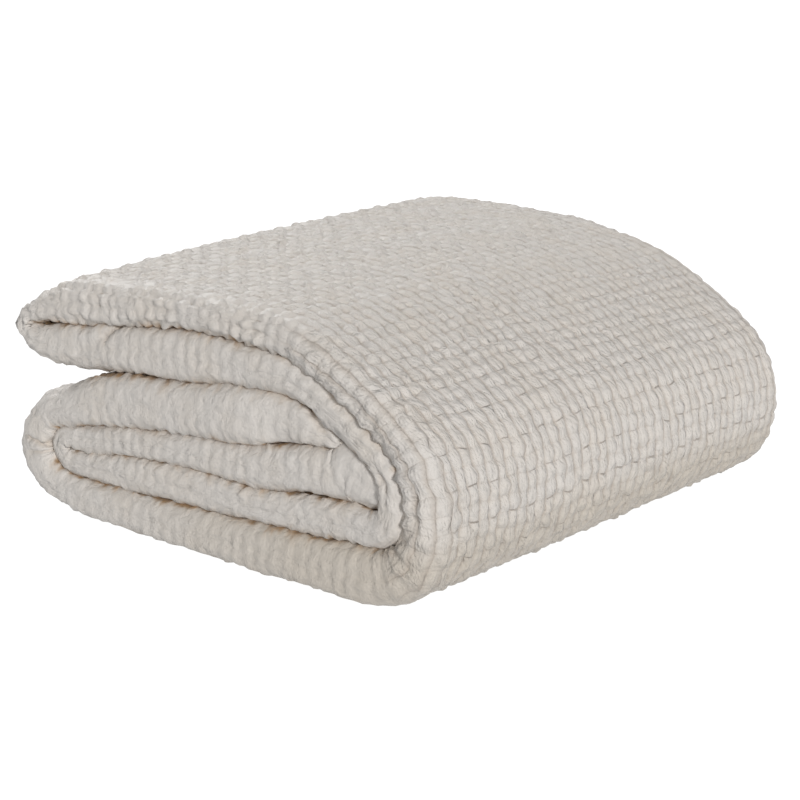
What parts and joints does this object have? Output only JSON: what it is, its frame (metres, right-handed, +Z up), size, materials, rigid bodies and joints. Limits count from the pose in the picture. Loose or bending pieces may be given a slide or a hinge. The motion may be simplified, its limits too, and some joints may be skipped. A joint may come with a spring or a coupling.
{
  "type": "folded bedspread",
  "caption": "Cream cotton bedspread in a chunky staggered weave, folded into a soft pile for a shelf, a bed's foot or a chair.",
  "frame": {"origin": "middle of the pile's underside", "axes": "+Z up, +X from the loose folds towards the big smooth bend, +Y from the folded near side to the side with the hems"},
  "size_m": [0.4446, 0.4449, 0.1986],
  "materials": {
    "cream_cotton": "matt woven cotton"
  },
  "bodies": {
    "root": {"woven_cloth": "cream_cotton"}
  },
  "joints": []
}
